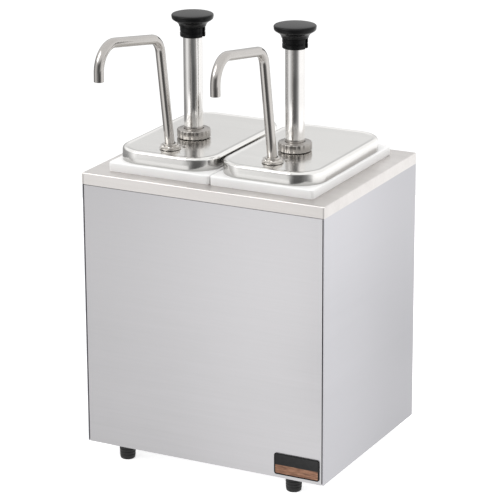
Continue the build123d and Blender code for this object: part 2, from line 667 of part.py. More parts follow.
def make_discharge_tube(at, turn):
    frame = outlet_frame(at, turn)
    arm_angle = radians(spout_lean + spout_rise)
    lean = radians(spout_lean)
    elbow = (0, riser_length)
    bend = (elbow[0] + arm_length * cos(arm_angle), elbow[1] + arm_length * sin(arm_angle))
    tip = (bend[0] + tip_length * sin(lean), bend[1] - tip_length * cos(lean))
    with BuildPart() as discharge_tube:
        with BuildLine(frame) as route:
            FilletPolyline((0, tube_foot), elbow, bend, tip, radius=spout_bends)
        with BuildSketch(riser_plane(at, tube_foot)):
            Circle(tube_radius)
            Circle(tube_radius - tube_wall, mode=Mode.SUBTRACT)
        sweep(path=route.line)
    return discharge_tube


def make_spout_bushing(at):
    """Fitting that guides the leaning tube through the lid: washer face, hexagon and barrel."""
    place = (at[0], at[1] - outlet_reach, at[2])
    with BuildPart() as spout_bushing:
        with BuildSketch(Plane(place)):
            Circle(bushing_washer_radius)
        extrude(amount=bushing_washer)
        with BuildSketch(Plane(place).offset(bushing_washer)):
            RegularPolygon(bushing_flats / 2, 6, major_radius=False, rotation=30)
        extrude(amount=bushing_hex)
        chamfer(spout_bushing.faces().sort_by(Axis.Z)[-1].edges(), 0.6)
        with BuildSketch(Plane(place)):
            Circle(bushing_barrel_radius)
        extrude(amount=-bushing_barrel)
        drill(at, bushing_hex + 5, -(bushing_hex + bushing_barrel + 10), tube_radius + running_fit)
    return spout_bushing


def make_clamp_plate(at):
    with BuildPart() as clamp_plate:
        with BuildSketch(Plane((at[0], at[1] - outlet_reach, at[2] - lid_sheet))):
            RectangleRounded(clamp_width, clamp_length, 4)
            Circle(bushing_barrel_radius, mode=Mode.SUBTRACT)
            with Locations((pin_x, pin_y)):
                Circle(pin_radius, mode=Mode.SUBTRACT)
        extrude(amount=-clamp_sheet)
    return clamp_plate


def make_clamp_nut(at):
    with BuildPart() as clamp_nut_piece:
        with BuildSketch(Plane((at[0], at[1] - outlet_reach, at[2] - lid_sheet - clamp_sheet))):
            RegularPolygon(clamp_nut_flats / 2, 6, major_radius=False)
            Circle(bushing_barrel_radius, mode=Mode.SUBTRACT)
        extrude(amount=-clamp_nut)
    return clamp_nut_piece


def make_lid_pin(at):
    place = (at[0] + pin_x, at[1] - outlet_reach + pin_y, at[2])
    end = -lid_sheet - clamp_sheet
    with BuildPart() as lid_pin:
        turned(place, (0, end), (pin_radius, end), (pin_radius, 0), (pin_head_radius, 0),
               (pin_head_radius, pin_head * 0.5), (pin_head_radius * 0.6, pin_head), (0, pin_head))
    return lid_pin


for side, jar_x, splay in jar_places:
    axis_at = (jar_x + pump_x, pump_y, lid_z)
    intake_rise = sqrt(intake_ball_radius**2 - intake_seat_radius**2) + ball_gap
    outlet_rise = sqrt(outlet_ball_radius**2 - outlet_seat_radius**2) + ball_gap
    intake_centre = (axis_at[0], axis_at[1], lid_z + seat_z + intake_rise)
    outlet_centre = tuple(riser_plane(axis_at, outlet_rise - outlet_depth).origin)

    save(make_jar(jar_x), f"{side}_jar")
    save(make_lid(jar_x, axis_at), f"{side}_lid")
    save(make_lock_collar(axis_at), f"{side}_lock_collar")
    save(make_neck_bush(axis_at), f"{side}_neck_bush")
    save(make_cylinder(axis_at), f"{side}_pump_cylinder")
    save(make_valve_body(axis_at), f"{side}_valve_body")
    save(make_body_ring(axis_at), f"{side}_body_o_ring")
    save(make_tube_ring(axis_at), f"{side}_tube_o_ring")
    save(make_intake_cap(axis_at), f"{side}_intake_cap")
    save(make_ball(intake_centre, intake_ball_radius), f"{side}_intake_ball")
    save(make_ball(outlet_centre, outlet_ball_radius), f"{side}_outlet_ball")
    save(make_plunger_tube(axis_at), f"{side}_plunger_tube")
    save(make_piston(axis_at), f"{side}_piston")
    save(make_piston_seal(axis_at), f"{side}_piston_seal")
    save(make_spring(axis_at), f"{side}_return_spring")
    save(make_gauging_collar(axis_at), f"{side}_gauging_collar")
    save(make_knob(axis_at), f"{side}_knob")
    save(make_discharge_tube(axis_at, splay), f"{side}_discharge_tube")
    save(make_spout_bushing(axis_at), f"{side}_spout_bushing")
    save(make_clamp_plate(axis_at), f"{side}_clamp_plate")
    save(make_clamp_nut(axis_at), f"{side}_clamp_nut")
    save(make_lid_pin(axis_at), f"{side}_lid_pin")
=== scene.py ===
import json
from math import atan, cos, pi, radians, sin, sqrt, tan

import bmesh
import bpy
from mathutils import Matrix, Vector


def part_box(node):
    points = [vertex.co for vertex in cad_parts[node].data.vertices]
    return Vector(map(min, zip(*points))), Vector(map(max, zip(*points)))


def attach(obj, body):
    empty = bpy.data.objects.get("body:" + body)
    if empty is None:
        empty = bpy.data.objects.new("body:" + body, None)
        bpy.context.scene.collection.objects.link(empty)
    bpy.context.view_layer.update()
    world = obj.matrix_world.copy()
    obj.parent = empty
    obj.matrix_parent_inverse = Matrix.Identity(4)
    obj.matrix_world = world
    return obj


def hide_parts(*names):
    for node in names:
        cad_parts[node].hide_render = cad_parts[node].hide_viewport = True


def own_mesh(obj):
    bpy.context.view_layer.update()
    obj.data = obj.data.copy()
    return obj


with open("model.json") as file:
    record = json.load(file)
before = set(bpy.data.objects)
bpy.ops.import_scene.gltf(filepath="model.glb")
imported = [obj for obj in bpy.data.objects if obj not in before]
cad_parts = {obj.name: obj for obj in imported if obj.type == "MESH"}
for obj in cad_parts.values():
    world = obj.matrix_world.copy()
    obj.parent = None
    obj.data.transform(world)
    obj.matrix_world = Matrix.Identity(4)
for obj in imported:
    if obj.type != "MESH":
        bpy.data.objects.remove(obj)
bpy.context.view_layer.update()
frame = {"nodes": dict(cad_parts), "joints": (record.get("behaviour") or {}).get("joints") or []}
scene = bpy.context.scene

# ================================================================== mesh helpers (metres)
def circle_points(radius, steps, centre=(0, 0)):
    return [(centre[0] + radius * cos(2 * pi * i / steps),
             centre[1] + radius * sin(2 * pi * i / steps)) for i in range(steps)]


def rounded_rect(width, depth, corner, centre=(0, 0), per_corner=10):
    """Counter-clockwise outline, the same number of points whatever the corner."""
    points = []
    for k, (sx, sy) in enumerate([(1, 1), (-1, 1), (-1, -1), (1, -1)]):
        cx, cy = sx * (width / 2 - corner), sy * (depth / 2 - corner)
        for i in range(per_corner + 1):
            a = k * pi / 2 + (pi / 2) * i / per_corner
            points.append((centre[0] + cx + corner * cos(a), centre[1] + cy + corner * sin(a)))
    return points


def softened(points, radii, closed=True, steps=4, share=0.48):
    """Round the corners of a 2D or 3D polyline; a rounding takes at most that share of an edge."""
    out, count = [], len(points)
    for i, p in enumerate(points):
        p = Vector(p)
        radius = radii[i] if isinstance(radii, (list, tuple)) else radii
        if radius <= 0 or (not closed and i in (0, count - 1)):
            out.append(p)
            continue
        before, after = Vector(points[i - 1]) - p, Vector(points[(i + 1) % count]) - p
        angle = before.angle(after)
        if angle > pi - 1e-3:
            out.append(p)
            continue
        reach = min(radius / tan(angle / 2), share * before.length, share * after.length)
        radius = reach * tan(angle / 2)
        u, v = before.normalized(), after.normalized()
        middle = p + (u + v).normalized() * (radius / sin(angle / 2))
        a, b = p + u * reach - middle, p + v * reach - middle
        turn = a.angle(b)
        for k in range(steps + 1):
            t = k / steps
            out.append(middle + (a * sin((1 - t) * turn) + b * sin(t * turn)) / sin(turn))
    return out


def add_rings(bm, rings, close_rings=True, cap_first=False, cap_last=False):
    """Skin a list of point loops that all have the same number of points."""
    loops = [[bm.verts.new(p) for p in ring] for ring in rings]
    pairs = list(zip(loops, loops[1:]))
    if close_rings:
        pairs.append((loops[-1], loops[0]))
    for a, b in pairs:
        for i in range(len(a)):
            j = (i + 1) % len(a)
            bm.faces.new((a[i], a[j], b[j], b[i]))
    if cap_first:
        bm.faces.new(loops[0])
    if cap_last:
        bm.faces.new(loops[-1])
    return loops


def add_lathe(bm, at, profile, steps=72):
    """Revolve a closed (radius, height) profile about the upright axis through at."""
    rings = []
    for i in range(steps):
        a = 2 * pi * i / steps
        rings.append([Vector(at) + Vector((r * cos(a), r * sin(a), z)) for r, z in profile])
    add_rings(bm, rings)


def add_tube(bm, path, outer, inner, steps=28, edge=0.00025):
    """Hollow tube along a path, its two ends slightly rounded."""
    path = [Vector(p) for p in path]
    tangents = []
    for i in range(len(path)):
        a, b = path[max(i - 1, 0)], path[min(i + 1, len(path) - 1)]
        tangents.append((b - a).normalized())
    normal = tangents[0].orthogonal().normalized()
    frames = []
    for i, t in enumerate(tangents):
        normal = (normal - t * normal.dot(t)).normalized()
        frames.append((path[i], t, normal, t.cross(normal)))

    def ring(place, radius, shift=0.0):
        p, t, n, b = place
        return [p + t * shift + (n * cos(2 * pi * i / steps) + b * sin(2 * pi * i / steps)) * radius
                for i in range(steps)]

    rings = [ring(frames[0], inner + edge), ring(frames[0], outer - edge)]
    rings += [ring(frames[0], outer, edge)]
    rings += [ring(f, outer) for f in frames[1:-1]]
    rings += [ring(frames[-1], outer, -edge), ring(frames[-1], outer - edge),
              ring(frames[-1], inner + edge), ring(frames[-1], inner, -edge)]
    rings += [ring(f, inner) for f in reversed(frames[1:-1])]
    rings += [ring(frames[0], inner, edge)]
    add_rings(bm, rings)


def fill_flat(bm, loops):
    """Fill the flat region between vertex loops, the first one outside and the others holes."""
    edges = []
    for loop in loops:
        for i in range(len(loop)):
            pair = (loop[i], loop[(i + 1) % len(loop)])
            edges.append(bm.edges.get(pair) or bm.edges.new(pair))
    bmesh.ops.triangle_fill(bm, use_beauty=True, edges=edges, normal=(0, 0, 1))


def join_loops(bm, a, b):
    for i in range(len(a)):
        j = (i + 1) % len(a)
        bm.faces.new((a[i], a[j], b[j], b[i]))


def project_grain(mesh):
    """A UV map in metres whose U runs across the rolling grain: along Z on walls, along Y on tops."""
    layer = mesh.uv_layers.new(name="grain")
    for polygon in mesh.polygons:
        n = polygon.normal
        for li in polygon.loop_indices:
            co = mesh.vertices[mesh.loops[li].vertex_index].co
            if abs(n.z) > 0.7:
                layer.data[li].uv = (co.y, co.x)
            elif abs(n.y) > abs(n.x):
                layer.data[li].uv = (co.z, co.x)
            else:
                layer.data[li].uv = (co.z, co.y)


def piece(name, bm, body, material, stands_for=(), sharp=38):
    bmesh.ops.remove_doubles(bm, verts=bm.verts, dist=1e-7)
    bmesh.ops.recalc_face_normals(bm, faces=bm.faces)
    mesh = bpy.data.meshes.new(name)
    bm.to_mesh(mesh)
    bm.free()
    mesh.polygons.foreach_set("use_smooth", [True] * len(mesh.polygons))
    mesh.set_sharp_from_angle(angle=radians(sharp))
    project_grain(mesh)
    mesh.materials.append(material)
    made = bpy.data.objects.new(name, mesh)
    scene.collection.objects.link(made)
    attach(made, body)
    if stands_for:
        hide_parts(*stands_for)
    return made


# ================================================================== materials
def new_material(name):
    material = bpy.data.materials.new(name)
    material.use_nodes = True
    nodes, links = material.node_tree.nodes, material.node_tree.links
    shader = nodes["Principled BSDF"]
    return material, nodes, links, shader


def object_coords(nodes, links, scale):
    place = nodes.new("ShaderNodeTexCoord")
    mapping = nodes.new("ShaderNodeMapping")
    mapping.inputs["Scale"].default_value = scale
    links.new(place.outputs["Object"], mapping.inputs["Vector"])
    return mapping.outputs["Vector"]


def noise(nodes, links, vector, scale, detail=4.0, rough=0.55):
    node = nodes.new("ShaderNodeTexNoise")
    node.inputs["Scale"].default_value = scale
    node.inputs["Detail"].default_value = detail
    node.inputs["Roughness"].default_value = rough
    links.new(vector, node.inputs["Vector"])
    return node.outputs["Fac"]


def ramp(nodes, links, fac, stops):
    node = nodes.new("ShaderNodeValToRGB")
    elements = node.color_ramp.elements
    elements[0].position, elements[-1].position = stops[0][0], stops[-1][0]
    for position, _ in stops[1:-1]:
        elements.new(position)
    for element, (_, value) in zip(elements, stops):
        color = value if isinstance(value, (tuple, list)) else (value, value, value)
        element.color = (*color, 1)
    links.new(fac, node.inputs["Fac"])
    return node.outputs["Color"]


def mixed(nodes, links, fac, a, b, blend="MIX"):
    node = nodes.new("ShaderNodeMix")
    node.data_type = "RGBA"
    node.blend_type = blend
    for socket, value in ((node.inputs[0], fac), (node.inputs[6], a), (node.inputs[7], b)):
        if isinstance(value, bpy.types.NodeSocket):
            links.new(value, socket)
        elif isinstance(value, (int, float)):
            socket.default_value = value
        else:
            socket.default_value = (*value, 1)
    return node.outputs[2]


def bumped(nodes, links, shader, height, strength, distance):
    bump = nodes.new("ShaderNodeBump")
    bump.inputs["Strength"].default_value = strength
    bump.inputs["Distance"].default_value = distance
    links.new(height, bump.inputs["Height"])
    links.new(bump.outputs["Normal"], shader.inputs["Normal"])


def grained_steel(name, tone, dark, grain, rough, anisotropy, bump=0.05, blotch=0.25, painted_shade=None):
    """Rolled or brushed stainless: long fine scratches, faint cloudy tone changes and handling marks.
    grain is the stretch of the scratches along X, Y and Z (small along the scratch).
    painted_shade is (axis, from, to, share at from, share at to): painted shade, a slow darkening across the
    sheet that stands in for the way the light falls on it."""
    material, nodes, links, shader = new_material(name)
    fine = noise(nodes, links, object_coords(nodes, links, grain), 260, 3, 0.6)
    coarse = noise(nodes, links, object_coords(nodes, links, tuple(g * 0.5 for g in grain)), 90, 2, 0.5)
    cloud = noise(nodes, links, object_coords(nodes, links, (1, 1, 1)), 9, 4, 0.6)
    scratch = mixed(nodes, links, 0.5, fine, coarse)
    tone_from = ramp(nodes, links, scratch, [(0.3, dark), (0.7, tone)])
    cloudy = ramp(nodes, links, cloud, [(0.3, tuple(t * (1 - blotch) for t in tone)), (0.7, tone)])
    color = mixed(nodes, links, 0.45, tone_from, cloudy)
    # Painted shade: the colour is multiplied by a ramp along one axis, so one end of the sheet is darker.
    if painted_shade:
        axis, start, end, share_start, share_end = painted_shade
        split = nodes.new("ShaderNodeSeparateXYZ")
        links.new(object_coords(nodes, links, (1, 1, 1)), split.inputs["Vector"])
        across = nodes.new("ShaderNodeMapRange")
        across.interpolation_type = "SMOOTHSTEP"
        across.inputs["From Min"].default_value = start
        across.inputs["From Max"].default_value = end
        links.new(split.outputs[axis], across.inputs["Value"])
        shade_shares = ramp(nodes, links, across.outputs["Result"], [(0.0, share_start), (1.0, share_end)])
        color = mixed(nodes, links, 1.0, color, shade_shares, "MULTIPLY")
    links.new(color, shader.inputs["Base Color"])
    shader.inputs["Metallic"].default_value = 1.0
    roughness = ramp(nodes, links, mixed(nodes, links, 0.35, scratch, cloud),
                     [(0.3, rough * 0.82), (0.7, rough * 1.2)])
    links.new(roughness, shader.inputs["Roughness"])
    shader.inputs["Anisotropic"].default_value = anisotropy
    tangent = nodes.new("ShaderNodeTangent")
    tangent.direction_type = "UV_MAP"
    tangent.uv_map = "grain"
    links.new(tangent.outputs["Tangent"], shader.inputs["Tangent"])
    bumped(nodes, links, shader, scratch, bump, 0.0004)
    return material


def polished_steel(name, tone, rough):
    """Polished tube: faint drawing lines round and along it, small variations in gloss and water marks."""
    material, nodes, links, shader = new_material(name)
    lines = noise(nodes, links, object_coords(nodes, links, (1, 1, 0.03)), 700, 2, 0.5)
    cloud = noise(nodes, links, object_coords(nodes, links, (1, 1, 1)), 45, 4, 0.6)
    color = ramp(nodes, links, mixed(nodes, links, 0.5, lines, cloud),
                 [(0.25, tuple(t * 0.9 for t in tone)), (0.7, tone)])
    links.new(color, shader.inputs["Base Color"])
    shader.inputs["Metallic"].default_value = 1.0
    roughness = ramp(nodes, links, cloud, [(0.3, rough * 0.85), (0.72, rough * 1.2)])
    links.new(roughness, shader.inputs["Roughness"])
    bumped(nodes, links, shader, lines, 0.02, 0.00005)
    return material


def moulded(name, tone, rough, grain_scale, grain_strength, speck=0.08, specular=0.5):
    """Moulded plastic or rubber: fine surface texture, faint flow marks and scuffing."""
    material, nodes, links, shader = new_material(name)
    texture = noise(nodes, links, object_coords(nodes, links, (1, 1, 1)), grain_scale, 3, 0.6)
    flow = noise(nodes, links, object_coords(nodes, links, (1, 1, 0.4)), 28, 4, 0.6)
    light = tuple(min(1.0, t * (1 + speck) + speck * 0.02) for t in tone)
    color = ramp(nodes, links, flow, [(0.3, tuple(t * (1 - speck) for t in tone)), (0.7, light)])
    links.new(color, shader.inputs["Base Color"])
    links.new(ramp(nodes, links, mixed(nodes, links, 0.4, flow, texture),
                   [(0.3, rough * 0.85), (0.7, min(1.0, rough * 1.2))]), shader.inputs["Roughness"])
    shader.inputs["Specular IOR Level"].default_value = specular
    bumped(nodes, links, shader, texture, grain_strength, 0.0002)
    return material


# The front panel is painted darker towards its left edge (0.80 there): painted shade.
panel_steel = grained_steel("panel_steel", (0.62, 0.61, 0.625), (0.545, 0.54, 0.55), (0.05, 0.05, 1.6),
                            0.32, 0.45, bump=0.03, blotch=0.08, painted_shade=("X", -0.13, 0.13, 0.80, 1.0))
# The wrap's walls are painted darker towards the back (0.82 there): painted shade.
wall_steel = grained_steel("wall_steel", (0.55, 0.546, 0.572), (0.50, 0.496, 0.522), (0.06, 0.06, 1.6),
                           0.34, 0.45, bump=0.02, blotch=0.06, painted_shade=("Y", -0.10, 0.10, 1.0, 0.82))
deck_steel = grained_steel("deck_steel", (0.70, 0.675, 0.66), (0.54, 0.515, 0.495), (0.03, 1.6, 1.0),
                           0.33, 0.5, bump=0.06, blotch=0.08)
# The lid's skirt is painted darker towards its lower edge (0.60 at the bottom): painted shade.
skirt_low, skirt_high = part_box("left_lid")
skirt_painted_shade = ("Z", skirt_low.z, skirt_high.z - 0.003, 0.60, 1.0)
lid_steel = grained_steel("lid_steel", (0.82, 0.81, 0.79), (0.74, 0.73, 0.71), (0.03, 1.6, 1.0),
                          0.17, 0.45, bump=0.03, blotch=0.06, painted_shade=skirt_painted_shade)
inner_steel = grained_steel("inner_steel", (0.6, 0.6, 0.6), (0.5, 0.5, 0.5), (0.05, 1.0, 1.0), 0.4, 0.3)
tube_steel = polished_steel("tube_steel", (0.76, 0.745, 0.73), 0.14)
# The spout's steel is a darker copy of the plunger tube's polished steel: painted shade.
shaded_spout_steel = polished_steel("shaded_spout_steel", (0.47, 0.45, 0.43), 0.14)
fitting_steel = polished_steel("fitting_steel", (0.60, 0.575, 0.545), 0.22)
collar_steel = polished_steel("collar_steel", (0.37, 0.35, 0.33), 0.26)
white_plastic = moulded("white_plastic", (0.93, 0.925, 0.92), 0.32, 900, 0.03, 0.02)
guide_plastic = moulded("guide_plastic", (0.7, 0.7, 0.68), 0.4, 900, 0.04, 0.04)
black_plastic = moulded("black_plastic", (0.005, 0.0051, 0.0054), 0.2, 1400, 0.04, 0.25, specular=0.13)
valve_plastic = moulded("valve_plastic", (0.03, 0.03, 0.033), 0.5, 1000, 0.1, 0.2)
black_rubber = moulded("black_rubber", (0.008, 0.008, 0.008), 0.5, 1800, 0.2, 0.3, specular=0.3)


def badge_enamel():
    """Plain two-tone plate: a dark band over a brown one with a plain wood grain, and no lettering."""
    material, nodes, links, shader = new_material("badge_enamel")
    low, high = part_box("badge_plate")
    height = high.z - low.z
    place = nodes.new("ShaderNodeTexCoord")
    split = nodes.new("ShaderNodeSeparateXYZ")
    links.new(place.outputs["Object"], split.inputs["Vector"])
    span = nodes.new("ShaderNodeMapRange")
    span.inputs["From Min"].default_value = low.z
    span.inputs["From Max"].default_value = high.z
    links.new(split.outputs["Z"], span.inputs["Value"])
    grain = noise(nodes, links, object_coords(nodes, links, (0.16, 1, 1)), 520, 5, 0.62)
    brown = ramp(nodes, links, grain, [(0.30, (0.07, 0.030, 0.017)), (0.50, (0.22, 0.105, 0.06)),
                                       (0.72, (0.34, 0.185, 0.11))])
    dark = ramp(nodes, links, noise(nodes, links, object_coords(nodes, links, (1, 1, 1)), 400, 2),
                [(0.3, (0.004, 0.004, 0.0045)), (0.7, (0.008, 0.008, 0.0085))])
    band = ramp(nodes, links, span.outputs["Result"], [(0.44, 0.0), (0.47, 1.0)])
    links.new(mixed(nodes, links, band, brown, dark), shader.inputs["Base Color"])
    shader.inputs["Roughness"].default_value = 0.35
    shader.inputs["Specular IOR Level"].default_value = 0.3
    bumped(nodes, links, shader, grain, 0.05, height * 0.002)
    return material


badge_material = badge_enamel()

# ================================================================== cabinet
def paint(node, material):
    """Give a CAD piece its material and the UV map that the steels use."""
    shown = frame["nodes"][node]
    project_grain(shown.data)
    shown.data.materials.clear()
    shown.data.materials.append(material)


for node, material in (("cabinet_wrap", wall_steel), ("front_panel", panel_steel),
                       ("deck_cover", deck_steel), ("floor_pan", inner_steel),
                       ("web_bar", inner_steel), ("corner_brackets", inner_steel),
                       ("bracket_rivets", inner_steel), ("foot_screws", inner_steel),
                       ("foot_nuts", inner_steel)):
    paint(node, material)

BLACK_EDGE = 0.0014       # width of the badge's raised black border
BADGE_CORNER = 0.0025
BADGE_CHAMFER = 0.0002


def make_badge():
    low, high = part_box("badge_plate")
    centre = (low + high) / 2
    width, height, thick = high.x - low.x, high.z - low.z, high.y - low.y

    def ring(inset, depth, corner):
        outline = rounded_rect(width - 2 * inset, height - 2 * inset, corner)
        return [Vector((centre.x + x, high.y - depth, centre.z + y)) for x, y in outline]

    bm = bmesh.new()
    corner, chamfer, crest = BADGE_CORNER, BADGE_CHAMFER, BLACK_EDGE * 0.8
    rings = [ring(0, 0, corner), ring(0, thick - chamfer, corner), ring(chamfer, thick, corner - chamfer),
             ring(crest, thick, corner - crest), ring(BLACK_EDGE, thick - chamfer, corner - BLACK_EDGE)]
    add_rings(bm, rings, close_rings=False, cap_first=True, cap_last=True)
    badge = piece("badge_face", bm, "cabinet", badge_material, ["badge_plate"])
    badge.data.materials.append(black_plastic)
    for polygon in badge.data.polygons:
        if len(polygon.vertices) == 4:
            polygon.material_index = 1


make_badge()


def make_feet():
    low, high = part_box("rubber_feet")
    height, reach, foot_radius = 0.016, 0.0084, 0.0076
    ribs, rib_pitch = 4, 0.0030
    screw_recess, screw_hole, recess_height = 0.0043, 0.002, 0.005
    profile = [(screw_recess, 0), (0.0066, 0), (0.0074, 0.0008), (foot_radius, 0.0020)]
    for k in range(ribs):
        base = 0.0028 + k * rib_pitch
        radius = foot_radius + (reach - foot_radius) * base / height
        profile += [(radius, base), (radius + 0.00012, base + 0.0018), (radius - 0.0003, base + 0.0022)]
    profile += [(reach, height - 0.0008), (reach - 0.0004, height), (screw_hole, height),
                (screw_hole, recess_height), (screw_recess, recess_height)]
    bm = bmesh.new()
    for x in (low.x + reach, high.x - reach):
        for y in (low.y + reach, high.y - reach):
            add_lathe(bm, (x, y, 0), profile, 40)
    piece("ribbed_feet", bm, "cabinet", black_rubber, ["rubber_feet"], sharp=50)


make_feet()


# ================================================================== jars, lids and pumps
def make_jar(side):
    low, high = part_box(f"{side}_jar")
    lid_low, lid_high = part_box(f"{side}_lid")
    cx = (low.x + high.x) / 2
    deck_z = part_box("deck_cover")[1].z
    rim_top = lid_low.z
    width, depth = high.x - low.x, high.y - low.y
    wall = 0.003
    draft = tan(radians(1.5))

    def ring(w, d, corner, z):
        return [Vector((x, y, z)) for x, y in rounded_rect(w, d, corner, (cx, 0))]

    # the rim: a hollow turned-down lip, then a bead that the lid sits on
    body_w, body_d, body_c = 0.0986, 0.164, 0.024
    lip, lip_corner, lip_inside, lid_corner = 0.0032, 0.0035, 0.0061, 0.029
    rings = [ring(width - 2 * lip, depth - 2 * lip, lip_corner, deck_z + lip_inside),
             ring(width - 2 * lip, depth - 2 * lip, lip_corner, deck_z),
             ring(width - 0.0006, depth - 0.0006, lip_corner - 0.0003, deck_z),
             ring(width, depth, lip_corner, deck_z + 0.0004)]
    edge = 0.0016
    for k in range(6):
        a = k * pi / 10
        inset = edge * (1 - cos(a))
        rings.append(ring(width - 2 * inset, depth - 2 * inset, lip_corner, rim_top - edge + edge * sin(a)))
    lid_w, lid_d = lid_high.x - lid_low.x, lid_high.y - lid_low.y
    rings.append(ring(width - 2 * 0.0022, depth - 2 * 0.0022, 0.0038, rim_top))
    bead = ((0.0016, 0), (0.0016, 0.0022), (0.0020, 0.0025), (0.0038, 0.0025), (0.0042, 0.0021), (0.0042, 0))
    for inset, rise in bead:
        rings.append(ring(lid_w - 2 * inset, lid_d - 2 * inset, lid_corner - inset, rim_top + rise))
    # the tapered body, down the inside and up the outside
    floor = low.z + wall
    for z in (rim_top - 0.0005, deck_z - 0.02, low.z + 0.03, low.z + 0.012):
        shrink = 2 * (deck_z - z) * draft if z < deck_z else 0
        w, d = body_w - shrink, body_d - shrink
        rings.append(ring(w - 2 * wall, d - 2 * wall, body_c - wall - shrink / 2, z))
    shrink = 2 * (deck_z - low.z) * draft
    foot_w, foot_d, foot_c = body_w - shrink, body_d - shrink, body_c - shrink / 2
    for inset, z in ((0.0012, floor + 0.0035), (0.0042, floor + 0.0006), (0.008, floor)):
        w = wall + inset
        rings.append(ring(foot_w - 2 * w, foot_d - 2 * w, foot_c - w, z))
    outside = []
    for z in (deck_z + 0.0060, deck_z - 0.001, low.z + 0.03, low.z + 0.010):
        shrunk = 2 * max(0.0, deck_z - z) * draft
        outside.append(ring(body_w - shrunk, body_d - shrunk, body_c - shrunk / 2, z))
    for inset, z in ((0.0008, low.z + 0.004), (0.0030, low.z + 0.001), (0.0065, low.z)):
        outside.append(ring(foot_w - 2 * inset, foot_d - 2 * inset, foot_c - inset, z))
    bm = bmesh.new()
    rings = list(reversed(outside)) + rings
    add_rings(bm, rings, close_rings=False, cap_first=True, cap_last=True)
    piece(f"{side}_white_jar", bm, f"{side}_jar", white_plastic, [f"{side}_jar"])


def make_lid(side):
    low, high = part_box(f"{side}_lid")
    cx, cy = (low.x + high.x) / 2, (low.y + high.y) / 2
    width, depth, corner, sheet = high.x - low.x, high.y - low.y, 0.029, 0.001
    height = high.z - low.z

    def ring(inset, z):
        return [Vector((x, y, z)) for x, y in
                rounded_rect(width - 2 * inset, depth - 2 * inset, corner - inset, (cx, cy), 14)]

    roll = 0.0030
    rings = [ring(sheet, low.z), ring(0.0001, low.z), ring(0.0, low.z + 0.0004),
             ring(0.0002, low.z + height * 0.45)]
    for k in range(9):
        a = k * pi / 16
        rings.append(ring(0.0003 + roll * (1 - cos(a)), high.z - roll + roll * sin(a)))
    dish = 0.0004             # the lid's middle lies this far below its rolled edge
    rings += [ring(0.0042, high.z), ring(0.0056, high.z - 0.0003), ring(0.0070, high.z - dish),
              ring(0.0085, high.z - dish)]
    under = high.z - sheet - dish
    inner = [ring(0.0085, under), ring(0.0070, under), ring(0.0045, under)]
    for k in range(6):
        a = pi / 2 - k * pi / 10
        inner.append(ring(sheet + 0.0003 + 0.002 * (1 - cos(a)), under - 0.002 + 0.002 * sin(a)))
    inner.append(ring(sheet, low.z + height * 0.4))
    bm = bmesh.new()
    outer_loops = add_rings(bm, rings, close_rings=False)
    inner_loops = add_rings(bm, inner, close_rings=False)
    join_loops(bm, outer_loops[0], inner_loops[-1])
    holes_top, holes_under = [], []
    for (hx, hy), radius in hole_places(side):
        outline = circle_points(radius, 40, (hx, hy))
        top = [bm.verts.new((x, y, high.z - dish)) for x, y in outline]
        bottom = [bm.verts.new((x, y, under)) for x, y in outline]
        join_loops(bm, top, bottom)
        holes_top.append(top)
        holes_under.append(bottom)
    fill_flat(bm, [outer_loops[-1]] + holes_top)
    fill_flat(bm, [inner_loops[0]] + holes_under)
    piece(f"{side}_steel_lid", bm, f"{side}_pump", lid_steel, [f"{side}_lid"])


def centre_of(node):
    low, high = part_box(node)
    return (low + high) / 2


def hole_places(side):
    """Centre and radius of the lid's holes for the pump's neck, the spout and the pin."""
    neck, bushing, pin = (centre_of(f"{side}_{n}") for n in ("lock_collar", "clamp_nut", "lid_pin"))
    return [((neck.x, neck.y), 0.0135), ((bushing.x, bushing.y), 0.0078), ((pin.x, pin.y), 0.0013)]


def make_lock_collar(side):
    low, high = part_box(f"{side}_lock_collar")
    at = ((low.x + high.x) / 2, (low.y + high.y) / 2, low.z)
    flutes, per_flute = 20, 8
    outer, depth = (high.x - low.x) / 2, 0.0006
    lip, neck, neck_top, top = 0.00985, 0.0132, 0.0061, 0.0085

    def ring(radius, z, fluted=0.0):
        points = []
        for i in range(flutes * per_flute):
            a = 2 * pi * i / (flutes * per_flute)
            dip = (0.5 + 0.5 * cos(flutes * a)) * depth * fluted
            r = radius - dip
            points.append(Vector((at[0] + r * cos(a), at[1] + r * sin(a), at[2] + z)))
        return points

    rings = [ring(neck, 0), ring(outer - 0.0008, 0, 0.6), ring(outer, 0.0006, 1),
             ring(outer, top - 0.0010, 1), ring(outer - 0.0003, top - 0.0003, 0.8),
             ring(outer - 0.0014, top, 0.2), ring(0.0136, top),
             ring(0.0124, top + 0.0002), ring(0.0118, top + 0.0006), ring(lip + 0.0003, top + 0.0006),
             ring(lip, top + 0.0003), ring(lip, neck_top), ring(neck, neck_top)]
    bm = bmesh.new()
    add_rings(bm, rings)
    piece(f"{side}_fluted_collar", bm, f"{side}_pump", collar_steel,
          [f"{side}_lock_collar"], sharp=60)


